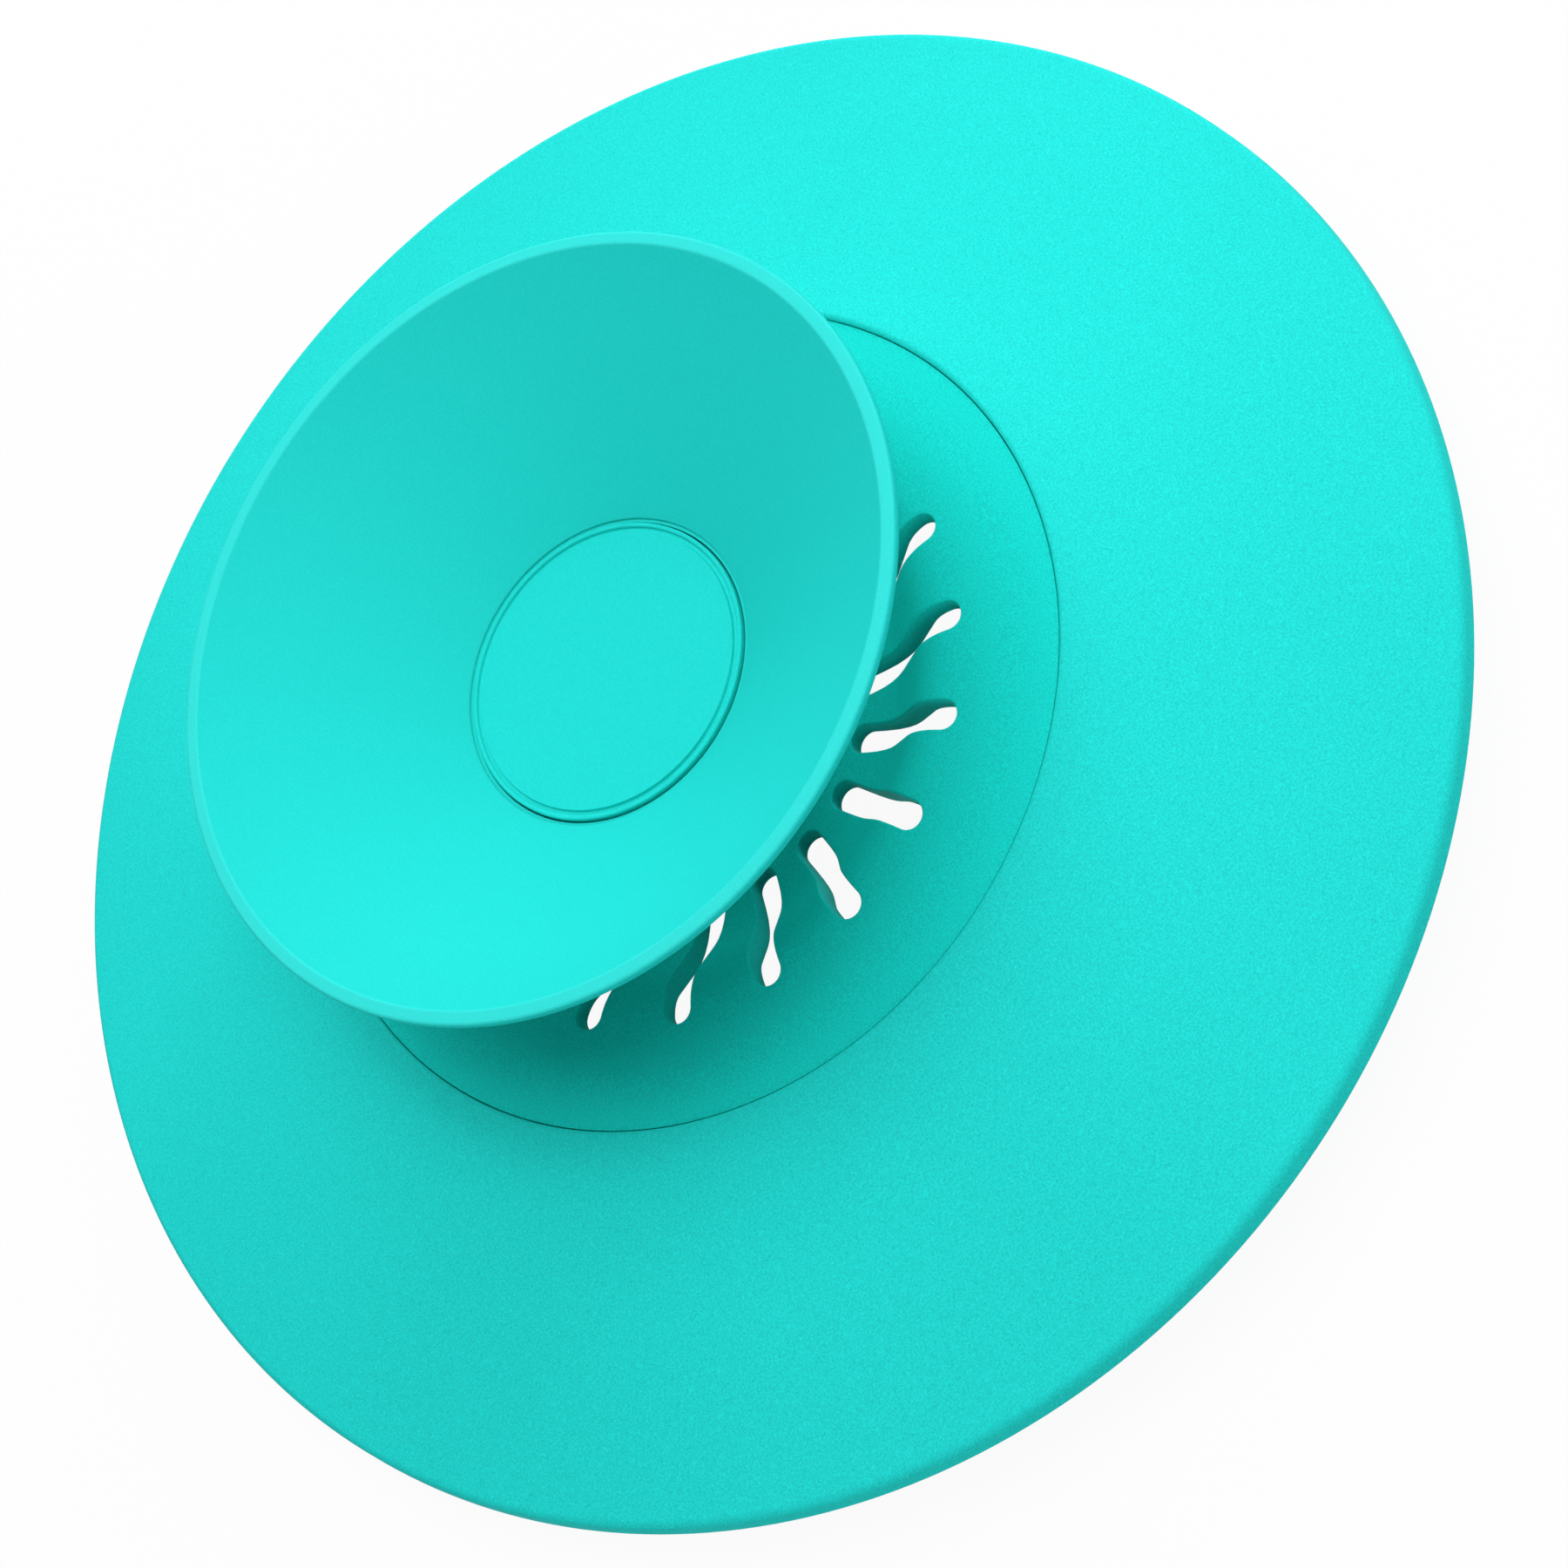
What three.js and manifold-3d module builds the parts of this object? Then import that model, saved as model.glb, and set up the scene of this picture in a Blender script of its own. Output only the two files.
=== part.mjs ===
// Silicone floor drain cover with a slotted funnel and a flared sealing cup.
// Millimetres, +Z up. It stands on its press button with the cup on top, as it lies when it is turned over,
// and the origin is the middle of the button's flat face.

import * as THREE from 'three';
import { mergeVertices } from 'three/addons/utils/BufferGeometryUtils.js';
import Module from 'manifold-3d';

const wasm = await Module();
wasm.setup();

// Cover: a wide shallow cone with a rounded edge and a stepped seat in its middle.
const COVER_DIAMETER = 150;
const COVER_EDGE_THICKNESS = 2.6;
const COVER_EDGE_ROUND = 1.05;
const COVER_RISE = 4.98;
const SEAT_DIAMETER = 81.6;
const SEAT_LEDGE_WIDTH = 7.5;
const SEAT_LEDGE_THICKNESS = 1.2;
const SEAT_EDGE_ROUND = 0.25;

// Strainer: a flange that lies in the seat, a steep funnel, a gentle valley and a flat collar at the hub.
const FLANGE_STEP = 0.55;
const FLANGE_RISE = 0.43;
const FLANGE_THICKNESS = 1.3;
const FLANGE_EDGE_ROUND = 0.2;
const STRAINER_WALL = 2.15;
const FOLD_DIAMETER = 56.1;
const FOLD_ROUND = 5.9;
const FUNNEL_DEPTH = 8.88;
const VALLEY_DIAMETER = 43.1;
const VALLEY_RISE = 1.61;
const VALLEY_ROUND = 9.2;
const COLLAR_DIAMETER = 32;
const COLLAR_ROUND = 4;

// Slots: straight, with round ends, repeated round the funnel. They run from the collar to the flange.
const SLOT_COUNT = 20;
const SLOT_PHASE = 6.86;
const SLOT_WIDTH = 2.78;
const SLOT_INNER_RADIUS = 18;
const SLOT_OUTER_RADIUS = 30.25;

// Cup: a straight cone inside, a thicker cone outside, on a neck with a foot.
const CUP_RIM_DIAMETER = 73.3;
const CUP_LIP_WIDTH = 1.25;
const CUP_LIP_HEIGHT = 0.75;
const CUP_LIP_ROUND = 0.35;
const CUP_DEPTH = 14.58;
const CUP_STANDOFF = 18.08;
const CUP_UNDER_ANGLE = 41;
const POCKET_DIAMETER = 29.5;
const NECK_DIAMETER = 23;
const NECK_FILLET = 5;
const FOOT_DIAMETER = 29;
const FOOT_THICKNESS = 1;
const FOOT_FILLET = 2.5;

// Plug: a round head in the cup's floor, with a bead and a groove at its edge, and a shank for the button.
const HEAD_THICKNESS = 1.9;
const HEAD_PROUD = 0.15;
const BEAD_WIDTH = 0.5;
const BEAD_ROUND = 0.22;
const GROOVE_WIDTH = 0.4;
const GROOVE_DEPTH = 0.25;
const SHANK_DIAMETER = 10;
const SHANK_TIP_CHAMFER = 0.8;
const SNAP_RING_DEPTH = 0.6;
const SNAP_RING_LENGTH = 1.6;
const SNAP_RING_HEIGHT = 8;

// Button: the cap on the far side, with a boss that lines the neck and takes the shank.
const BUTTON_DIAMETER = 27.2;
const BUTTON_THICKNESS = 2.45;
const BUTTON_FACE_ROUND = 1.1;
const BUTTON_BACK_ROUND = 0.4;
const BOSS_DIAMETER = 15.4;
const BOSS_HEIGHT = 9.4;
const SOCKET_FLOOR = 1.2;

// Clearances: beside round faces, and between faces that rest on each other.
const SIDE_CLEARANCE = 0.3;
const FACE_CLEARANCE = 0.15;

// Facets.
const LARGE_SIDES = 72;
const SMALL_SIDES = 40;
const ARC_STEP = THREE.MathUtils.degToRad(30);
const SLOT_END_SIDES = 6;
const WELD = 1e-4;

// The share of the shorter edge beside a corner that its fillet may take.
const FILLET_ROOM = 0.49;

// Heights, worked up from the button's face.
const collarBottom = BUTTON_THICKNESS + FACE_CLEARANCE;
const collarTop = collarBottom + STRAINER_WALL;
const foldTop = collarTop + FUNNEL_DEPTH;
const footBottom = collarTop + FACE_CLEARANCE;
const cupFloor = collarTop + CUP_STANDOFF;
const cupTop = cupFloor + CUP_DEPTH;
const headTop = cupFloor + HEAD_PROUD;
const headBottom = headTop - HEAD_THICKNESS;
const pocketFloor = headBottom - FACE_CLEARANCE;
const bossTop = BUTTON_THICKNESS + BOSS_HEIGHT;

// Radii shared by pieces that fit each other.
const seatRadius = SEAT_DIAMETER / 2;
const ledgeRadius = seatRadius - SEAT_LEDGE_WIDTH;
const foldRadius = FOLD_DIAMETER / 2;
const shankRadius = SHANK_DIAMETER / 2;
const shankBore = shankRadius + SIDE_CLEARANCE;
const bossRadius = BOSS_DIAMETER / 2;
const bossBore = bossRadius + SIDE_CLEARANCE;
const edgeTopRadius = COVER_DIAMETER / 2 - COVER_EDGE_ROUND;

// The flange is flatter than the cover. These give their top faces at a radius.
const flangeSlope = FLANGE_RISE / (seatRadius - foldRadius);
const flangeTopAt = (radius) => foldTop - (radius - foldRadius) * flangeSlope;
const seatTop = flangeTopAt(seatRadius) + FLANGE_STEP;
const coverSlope = COVER_RISE / (edgeTopRadius - seatRadius);
const coverTopAt = (radius) => seatTop - (radius - seatRadius) * coverSlope;

// A corner of a revolved outline, with the fillet that rounds it.
function corner(radius, height, fillet = 0) {
  return { point: new THREE.Vector2(radius, height), fillet };
}

// The points that replace one corner: the corner itself, or an arc that is tangent to both of its edges.
function cornerPoints(before, { point, fillet }, after) {
  if (fillet === 0) return [point];
  const back = before.clone().sub(point);
  const ahead = after.clone().sub(point);
  const room = FILLET_ROOM * Math.min(back.length(), ahead.length());
  back.normalize();
  ahead.normalize();
  const half = Math.acos(THREE.MathUtils.clamp(back.dot(ahead), -1, 1)) / 2;
  const tangent = Math.min(fillet / Math.tan(half), room);
  const radius = tangent * Math.tan(half);
  const centre = back.clone().add(ahead).setLength(radius / Math.sin(half)).add(point);
  const start = back.clone().multiplyScalar(tangent).add(point);
  const turn = Math.sign(back.cross(ahead)) * (Math.PI - 2 * half);
  const steps = Math.ceil(Math.abs(turn) / ARC_STEP);
  const points = [];
  for (let i = 0; i <= steps; i += 1) {
    points.push(start.clone().rotateAround(centre, (-turn * i) / steps));
  }
  return points;
}

function outlinePoints(corners) {
  const count = corners.length;
  return corners.flatMap((entry, i) => {
    const before = corners[(i + count - 1) % count].point;
    const after = corners[(i + 1) % count].point;
    return cornerPoints(before, entry, after);
  });
}

// Welds a geometry into one closed skin and drops the triangles that have shrunk to a line.
function closedSkin(geometry) {
  geometry.deleteAttribute('normal');
  geometry.deleteAttribute('uv');
  const skin = mergeVertices(geometry, WELD);
  const index = skin.getIndex();
  const kept = [];
  for (let i = 0; i < index.count; i += 3) {
    const [a, b, c] = [index.getX(i), index.getX(i + 1), index.getX(i + 2)];
    if (a !== b && b !== c && c !== a) kept.push(a, b, c);
  }
  skin.setIndex(kept);
  skin.computeVertexNormals();
  return skin;
}

// Revolves an outline, listed anticlockwise with the axis on its left, about Z.
function revolve(corners, sides) {
  const points = outlinePoints(corners);
  const onAxis = points[0].x === 0;
  if (!onAxis) points.push(points[0].clone());
  const lathe = new THREE.LatheGeometry(points, sides);
  lathe.rotateX(Math.PI / 2);
  return closedSkin(lathe);
}

function toSolid(geometry) {
  const skin = closedSkin(geometry);
  const vertProperties = new Float32Array(skin.getAttribute('position').array);
  const triVerts = new Uint32Array(skin.getIndex().array);
  return new wasm.Manifold(new wasm.Mesh({ numProp: 3, vertProperties, triVerts }));
}

function toGeometry(solid) {
  const mesh = solid.getMesh();
  const geometry = new THREE.BufferGeometry();
  geometry.setAttribute('position', new THREE.BufferAttribute(new Float32Array(mesh.vertProperties), 3));
  geometry.setIndex(new THREE.BufferAttribute(new Uint32Array(mesh.triVerts), 1));
  geometry.computeVertexNormals();
  return geometry;
}

// Cover disc: the cone's faces, the round edge, and the seat's wall and ledge.
function makeCoverDisc() {
  const rimRadius = COVER_DIAMETER / 2;
  const edgeTop = coverTopAt(edgeTopRadius);
  const ledgeTopAt = (radius) => flangeTopAt(radius) - FLANGE_THICKNESS - FACE_CLEARANCE;
  return revolve([
    corner(ledgeRadius, ledgeTopAt(ledgeRadius) - SEAT_LEDGE_THICKNESS),
    corner(seatRadius, ledgeTopAt(seatRadius) - SEAT_LEDGE_THICKNESS),
    corner(rimRadius, edgeTop - COVER_EDGE_THICKNESS, COVER_EDGE_ROUND),
    corner(rimRadius, edgeTop, COVER_EDGE_ROUND),
    corner(seatRadius, seatTop, SEAT_EDGE_ROUND),
    corner(seatRadius, ledgeTopAt(seatRadius)),
    corner(ledgeRadius, ledgeTopAt(ledgeRadius)),
  ], LARGE_SIDES);
}

// One slot in plan, lying along X.
function slotShape() {
  const half = SLOT_WIDTH / 2;
  const shape = new THREE.Shape();
  shape.absarc(SLOT_OUTER_RADIUS, 0, half, -Math.PI / 2, Math.PI / 2);
  shape.absarc(SLOT_INNER_RADIUS, 0, half, Math.PI / 2, (Math.PI * 3) / 2);
  return shape;
}

// The faces under a run of corners, listed from the rim to the axis, one wall below it.
function underCorners(corners, wall) {
  const down = corners.slice(1).map(({ point }, i) => {
    const run = point.clone().sub(corners[i].point).normalize();
    return new THREE.Vector2(-run.y, run.x);
  });
  return corners.slice(1, -1).map(({ point, fillet }, i) => {
    const middle = down[i].clone().add(down[i + 1]);
    const reach = wall / (1 + down[i].dot(down[i + 1]));
    const bulge = Math.sign(down[i + 1].cross(down[i]));
    const { x, y } = point.clone().addScaledVector(middle, reach);
    return corner(x, y, fillet + bulge * wall);
  });
}

// Strainer: flange, fold, funnel, valley and collar, with the slots cut straight down through it.
function makeStrainer() {
  const flangeRadius = seatRadius - SIDE_CLEARANCE;
  const stepRadius = ledgeRadius - SIDE_CLEARANCE;
  const top = [
    corner(flangeRadius, flangeTopAt(flangeRadius), FLANGE_EDGE_ROUND),
    corner(foldRadius, foldTop, FOLD_ROUND),
    corner(VALLEY_DIAMETER / 2, collarTop + VALLEY_RISE, VALLEY_ROUND),
    corner(COLLAR_DIAMETER / 2, collarTop, COLLAR_ROUND),
    corner(bossBore, collarTop),
  ];
  const body = toSolid(revolve([
    corner(bossBore, collarBottom),
    ...underCorners(top, STRAINER_WALL).reverse(),
    corner(stepRadius, flangeTopAt(stepRadius) - STRAINER_WALL),
    corner(stepRadius, flangeTopAt(stepRadius) - FLANGE_THICKNESS),
    corner(flangeRadius, flangeTopAt(flangeRadius) - FLANGE_THICKNESS),
    ...top,
  ], LARGE_SIDES));
  const through = { depth: foldTop + STRAINER_WALL, bevelEnabled: false, curveSegments: SLOT_END_SIDES };
  const cutter = new THREE.ExtrudeGeometry(slotShape(), through);
  let slotted = body;
  for (let i = 0; i < SLOT_COUNT; i += 1) {
    const angle = THREE.MathUtils.degToRad(SLOT_PHASE + (i * 360) / SLOT_COUNT);
    slotted = slotted.subtract(toSolid(cutter.clone().rotateZ(angle)));
  }
  return toGeometry(slotted);
}

// Seal cup: foot, neck, under cone, lip, inside cone, pocket for the plug's head, and the stepped bore.
function makeSealCup() {
  const rimRadius = CUP_RIM_DIAMETER / 2;
  const lipBottom = cupTop - CUP_LIP_HEIGHT;
  const neckRadius = NECK_DIAMETER / 2;
  const underSlope = Math.tan(THREE.MathUtils.degToRad(CUP_UNDER_ANGLE));
  const neckTop = lipBottom - (rimRadius - neckRadius) * underSlope;
  const pocketRadius = POCKET_DIAMETER / 2;
  const bossRoof = bossTop + SIDE_CLEARANCE;
  return revolve([
    corner(bossBore, footBottom),
    corner(FOOT_DIAMETER / 2, footBottom),
    corner(FOOT_DIAMETER / 2, footBottom + FOOT_THICKNESS),
    corner(neckRadius, footBottom + FOOT_THICKNESS, FOOT_FILLET),
    corner(neckRadius, neckTop, NECK_FILLET),
    corner(rimRadius, lipBottom, CUP_LIP_ROUND),
    corner(rimRadius, cupTop, CUP_LIP_ROUND),
    corner(rimRadius - CUP_LIP_WIDTH, cupTop),
    corner(pocketRadius, cupFloor),
    corner(pocketRadius, pocketFloor),
    corner(shankBore, pocketFloor),
    corner(shankBore, bossRoof),
    corner(bossBore, bossRoof),
  ], LARGE_SIDES);
}

// Plug: the shank with its snap ring, and the head with a bead and a groove round its face.
function makePlug() {
  const headRadius = POCKET_DIAMETER / 2 - SIDE_CLEARANCE;
  const tip = SOCKET_FLOOR + SIDE_CLEARANCE;
  const ringRadius = shankRadius + SNAP_RING_DEPTH;
  const ringBottom = SNAP_RING_HEIGHT - SNAP_RING_LENGTH / 2;
  const ringTop = SNAP_RING_HEIGHT + SNAP_RING_LENGTH / 2;
  const beadInner = headRadius - BEAD_WIDTH;
  return revolve([
    corner(0, tip),
    corner(shankRadius - SHANK_TIP_CHAMFER, tip),
    corner(shankRadius, tip + SHANK_TIP_CHAMFER),
    corner(shankRadius, ringBottom),
    corner(ringRadius, SNAP_RING_HEIGHT),
    corner(shankRadius, ringTop),
    corner(shankRadius, headBottom),
    corner(headRadius, headBottom),
    corner(headRadius, headTop, BEAD_ROUND),
    corner(beadInner, headTop, BEAD_ROUND),
    corner(beadInner - GROOVE_WIDTH / 2, headTop - GROOVE_DEPTH),
    corner(beadInner - GROOVE_WIDTH, headTop),
    corner(0, headTop),
  ], SMALL_SIDES);
}

// Press button: a flat cap with a hollow boss, grooved inside for the plug's snap ring.
function makePressButton() {
  const capRadius = BUTTON_DIAMETER / 2;
  const grooveRadius = shankBore + SNAP_RING_DEPTH;
  const grooveHalf = SNAP_RING_LENGTH / 2 + SIDE_CLEARANCE;
  return revolve([
    corner(0, 0),
    corner(capRadius, 0, BUTTON_FACE_ROUND),
    corner(capRadius, BUTTON_THICKNESS, BUTTON_BACK_ROUND),
    corner(bossRadius, BUTTON_THICKNESS),
    corner(bossRadius, bossTop),
    corner(shankBore, bossTop),
    corner(shankBore, SNAP_RING_HEIGHT + grooveHalf),
    corner(grooveRadius, SNAP_RING_HEIGHT),
    corner(shankBore, SNAP_RING_HEIGHT - grooveHalf),
    corner(shankBore, SOCKET_FLOOR),
    corner(0, SOCKET_FLOOR),
  ], SMALL_SIDES);
}

const coverSilicone = new THREE.MeshStandardMaterial({ color: 0x23dcd2, roughness: 0.62, metalness: 0 });
const cupSilicone = new THREE.MeshStandardMaterial({ color: 0x26dfd5, roughness: 0.5, metalness: 0 });
const plugPlastic = new THREE.MeshStandardMaterial({ color: 0x28dcd2, roughness: 0.55, metalness: 0 });

function piece(name, geometry, material) {
  const mesh = new THREE.Mesh(geometry, material);
  mesh.name = name;
  return mesh;
}

const drainCover = new THREE.Group();
drainCover.add(
  piece('cover_disc', makeCoverDisc(), coverSilicone),
  piece('strainer', makeStrainer(), coverSilicone),
);

// The cup, the plug and the button travel together along the axis.
const cupGroup = new THREE.Group();
cupGroup.add(
  piece('seal_cup', makeSealCup(), cupSilicone),
  piece('plug', makePlug(), plugPlastic),
  piece('press_button', makePressButton(), plugPlastic),
);
drainCover.add(cupGroup);

export default drainCover;
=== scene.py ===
"""Looks of a silicone floor drain cover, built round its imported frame.

It is laid out as an add-on and run as a script. Lengths are metres in the frame's axes: +Z is up along the
cover's axis, and the origin is the middle of the press button's face.
"""

import math

import bmesh
import bpy
from bpy.props import FloatProperty, FloatVectorProperty, IntProperty, PointerProperty
from bpy.types import Operator, Panel, PropertyGroup
from mathutils import Matrix, Vector


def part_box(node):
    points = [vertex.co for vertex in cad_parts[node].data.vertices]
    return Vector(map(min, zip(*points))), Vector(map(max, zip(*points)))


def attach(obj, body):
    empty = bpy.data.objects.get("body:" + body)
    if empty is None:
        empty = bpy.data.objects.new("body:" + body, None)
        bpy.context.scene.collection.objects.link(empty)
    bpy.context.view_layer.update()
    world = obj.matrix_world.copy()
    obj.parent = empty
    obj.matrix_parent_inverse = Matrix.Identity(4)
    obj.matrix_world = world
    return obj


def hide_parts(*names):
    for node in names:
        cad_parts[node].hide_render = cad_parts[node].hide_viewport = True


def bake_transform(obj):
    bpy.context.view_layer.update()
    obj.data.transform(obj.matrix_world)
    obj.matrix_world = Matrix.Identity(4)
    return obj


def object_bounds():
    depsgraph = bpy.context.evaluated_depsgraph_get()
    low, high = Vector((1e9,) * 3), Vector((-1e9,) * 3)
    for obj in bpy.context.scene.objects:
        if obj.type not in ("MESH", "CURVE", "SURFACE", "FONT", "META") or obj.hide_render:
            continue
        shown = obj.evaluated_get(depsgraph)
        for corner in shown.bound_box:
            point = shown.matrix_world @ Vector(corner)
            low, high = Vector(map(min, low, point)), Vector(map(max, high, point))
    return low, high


bl_info = {
    "name": "Silicone floor drain cover",
    "version": (1, 0, 0),
    "blender": (4, 5, 0),
    "location": "View3D > Sidebar > Drain cover",
    "description": "Builds the looks of a silicone floor drain cover round its frame",
    "category": "Object",
}

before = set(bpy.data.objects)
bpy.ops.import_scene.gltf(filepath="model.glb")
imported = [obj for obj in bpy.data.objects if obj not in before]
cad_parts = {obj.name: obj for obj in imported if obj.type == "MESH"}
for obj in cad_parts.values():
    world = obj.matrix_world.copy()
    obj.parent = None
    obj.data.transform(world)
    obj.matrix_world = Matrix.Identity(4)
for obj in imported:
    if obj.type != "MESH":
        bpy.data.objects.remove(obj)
CAD_LOW, CAD_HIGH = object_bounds()
DISC_LOW, DISC_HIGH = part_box("cover_disc")
CUP_LOW, CUP_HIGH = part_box("seal_cup")
PLUG_LOW, PLUG_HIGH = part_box("plug")
BUTTON_LOW, BUTTON_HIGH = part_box("press_button")

MM = 0.001

# How finely turned pieces are divided.
LARGE_SIDES = 288
SMALL_SIDES = 144
ARC_STEP = math.radians(9)
ARC_STEPS_MIN = 3
STRAIGHT_STEP = 3 * MM
SHARP_ANGLE = math.radians(40)
WELD = 1e-7

# Distance from a corner of the extra points that hold the shading of a straight face.
SUPPORT = 0.15 * MM

# The share of the shorter edge beside a corner that its fillet may take.
FILLET_ROOM = 0.49

# How finely a slot and the band round it are divided. The curve crowds the band's rings towards the slot.
END_STEPS = 10
SIDE_STEPS = 40
EDGE_STEPS = 4
BAND_STEPS = 5
BAND_CURVE = 1.5
WALL_STEPS = 3

# Surface of the silicone and the plug. The cup and the plug have a lower grain than the cover.
DRIFT_DETAIL = 2.0
GRAIN_DETAIL = 1.0
GRAIN_BLEND = 0.5
ROUGHNESS_SWING = 0.06
SHEEN = 0.01
LOW_GRAIN = 0.5

# Stage.
WHITE = (1, 1, 1, 1)
PAPER = (0.8, 0.8, 0.8, 1)
FLOOR_SPREAD = 20
LAMP_TARGET = 10 * MM
SENSOR_WIDTH = 36


def length(label, millimetres, words):
    """A length that a user can change."""
    return FloatProperty(name=label, description=words, default=millimetres * MM, unit="LENGTH", precision=5)


def tint(label, colour, words):
    """A colour that a user can change."""
    return FloatVectorProperty(name=label, description=words, default=colour, subtype="COLOR", size=3,
                               min=0, max=1)


def share(label, value, words):
    """A share from 0 to 1 that a user can change."""
    return FloatProperty(name=label, description=words, default=value, min=0, max=1, subtype="FACTOR")


def angle(label, degrees, words):
    """An angle that a user can change."""
    return FloatProperty(name=label, description=words, default=math.radians(degrees), subtype="ANGLE")


class CoverSizes(PropertyGroup):
    """Sizes of the cover disc and of the seat in its middle."""

    edge_thickness: length("Edge thickness", 2.0, "Thickness of the outer edge")
    edge_inset: length("Edge inset", 0.75, "Distance from the rim at which the top face's fall is measured")
    edge_lean: length("Edge lean", 0.5, "How far the outer edge leans in from its lower to its upper corner")
    edge_round: length("Edge round", 1.0, "Fillet on the upper corner of the outer edge")
    edge_under_round: length("Edge under round", 0.2, "Fillet on the lower corner of the outer edge")
    rise: length("Rise", 4.98, "How far the top face rises from the edge to the seat")
    seat_radius: length("Seat radius", 40.8, "Radius of the seat's wall")
    seat_gap: length("Seat gap", 0.1, "Open line between the seat's wall and the strainer")
    ledge_width: length("Ledge width", 7.5, "Width of the ledge under the strainer's flange")
    ledge_thickness: length("Ledge thickness", 1.2, "Thickness of the ledge")
    seat_round: length("Seat round", 0.5, "Fillet on the seat's edges")


class StrainerSizes(PropertyGroup):
    """Sizes of the strainer's flange and funnel."""

    flange_step: length("Flange step", 0.55, "How far the flange lies below the cover's face")
    flange_rise: length("Flange rise", 0.43, "How far the flange rises from the seat to the fold")
    flange_thickness: length("Flange thickness", 1.3, "Thickness of the flange on the ledge")
    flange_round: length("Flange round", 0.06, "Fillet on the flange's and the collar's edges")
    rest_gap: length("Rest gap", 0.15, "Gap between faces that rest on each other")
    wall: length("Wall", 2.15, "Thickness of the strainer's wall")
    fold_radius: length("Fold radius", 28.05, "Distance of the fold from the axis")
    fold_round: length("Fold round", 5.9, "Fillet at the fold")
    funnel_depth: length("Funnel depth", 8.88, "Depth of the collar below the fold")
    valley_radius: length("Valley radius", 21.55, "Distance from the axis at which the funnel turns gentle")
    valley_rise: length("Valley rise", 1.61, "Height of that turn above the collar")
    valley_round: length("Valley round", 9.2, "Fillet at that turn")
    collar_radius: length("Collar radius", 16, "Radius of the flat collar")
    collar_round: length("Collar round", 4, "Fillet at the collar's edge")


class SlotSizes(PropertyGroup):
    """Sizes of one slot and how often it repeats."""

    count: IntProperty(name="Count", description="Slots round the funnel", default=20, min=3)
    phase: angle("Phase", 6.86, "Turn of the first slot from +X")
    width: length("Width", 2.78, "Width of the slot")
    outer_radius: length("Outer radius", 30.25, "Distance of the outer end's centre from the axis")
    inner_radius: length("Inner radius", 18, "Distance of the inner end's centre from the axis")
    top_round: length("Top round", 0.15, "Fillet on the slot's upper edge")
    bottom_round: length("Bottom round", 0.1, "Fillet on the slot's lower edge")
    margin: length("Margin", 0.45, "Plain band between the slots' ends and the turned faces")


class CupSizes(PropertyGroup):
    """Sizes of the seal cup, its neck and its foot."""

    lip_width: length("Lip width", 1.25, "Width of the flat lip")
    lip_height: length("Lip height", 0.75, "Height of the lip's outer side")
    lip_round: length("Lip round", 0.35, "Fillet on the lip's outer edges")
    lip_inner_round: length("Lip inner round", 0.3, "Fillet on the lip's inner edge")
    depth: length("Depth", 14.58, "Depth of the cup from the lip to its floor")
    under_angle: angle("Under angle", 41, "Slope of the cup's back")
    brim_width: length("Brim width", 0.35, "Width of the small step round the plug's pocket")
    brim_depth: length("Brim depth", 0.26, "Depth of that step")
    brim_round: length("Brim round", 0.06, "Fillet on the edges of that step")
    neck_radius: length("Neck radius", 11.5, "Radius of the neck")
    neck_fillet: length("Neck fillet", 5, "Fillet between the neck and the cup")
    foot_radius: length("Foot radius", 14.5, "Radius of the foot on the collar")
    foot_thickness: length("Foot thickness", 1, "Thickness of the foot")
    foot_fillet: length("Foot fillet", 2.5, "Fillet between the foot and the neck")
    foot_round: length("Foot round", 0.3, "Fillet on the foot's edge")


class PlugSizes(PropertyGroup):
    """Sizes of the plug and of the button that it snaps into."""

    side_gap: length("Side gap", 0.3, "Gap beside round faces")
    head_thickness: length("Head thickness", 1.9, "Thickness of the plug's head")
    pocket_gap: length("Pocket gap", 0.16, "Gap between the head and its pocket")
    head_proud: length("Head proud", 0.2, "How far the head stands above the cup's floor")
    bead_width: length("Bead width", 0.4, "Width of the bead round the head")
    bead_round: length("Bead round", 0.18, "Fillet on the bead")
    groove_width: length("Groove width", 0.5, "Width of the groove inside the bead")
    groove_floor: length("Groove floor", 0.36, "Width of the groove's floor")
    groove_depth: length("Groove depth", 0.36, "Depth of the groove")
    groove_round: length("Groove round", 0.04, "Fillet on the groove's edges")
    shank_radius: length("Shank radius", 5, "Radius of the shank")
    tip_chamfer: length("Tip chamfer", 0.8, "Chamfer on the shank's tip")
    ring_depth: length("Ring depth", 0.6, "Depth of the snap ring")
    ring_length: length("Ring length", 1.6, "Length of the snap ring")
    ring_height: length("Ring height", 8, "Height of the snap ring")
    cap_thickness: length("Cap thickness", 2.45, "Thickness of the press button")
    cap_round: length("Cap round", 1.1, "Fillet on the press button's face")
    cap_back_round: length("Cap back round", 0.4, "Fillet on the press button's back")
    boss_radius: length("Boss radius", 7.7, "Radius of the boss in the neck")
    boss_round: length("Boss round", 0.3, "Fillet on the boss's end")
    socket_floor: length("Socket floor", 1.2, "Height of the bottom of the boss's bore")


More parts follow.
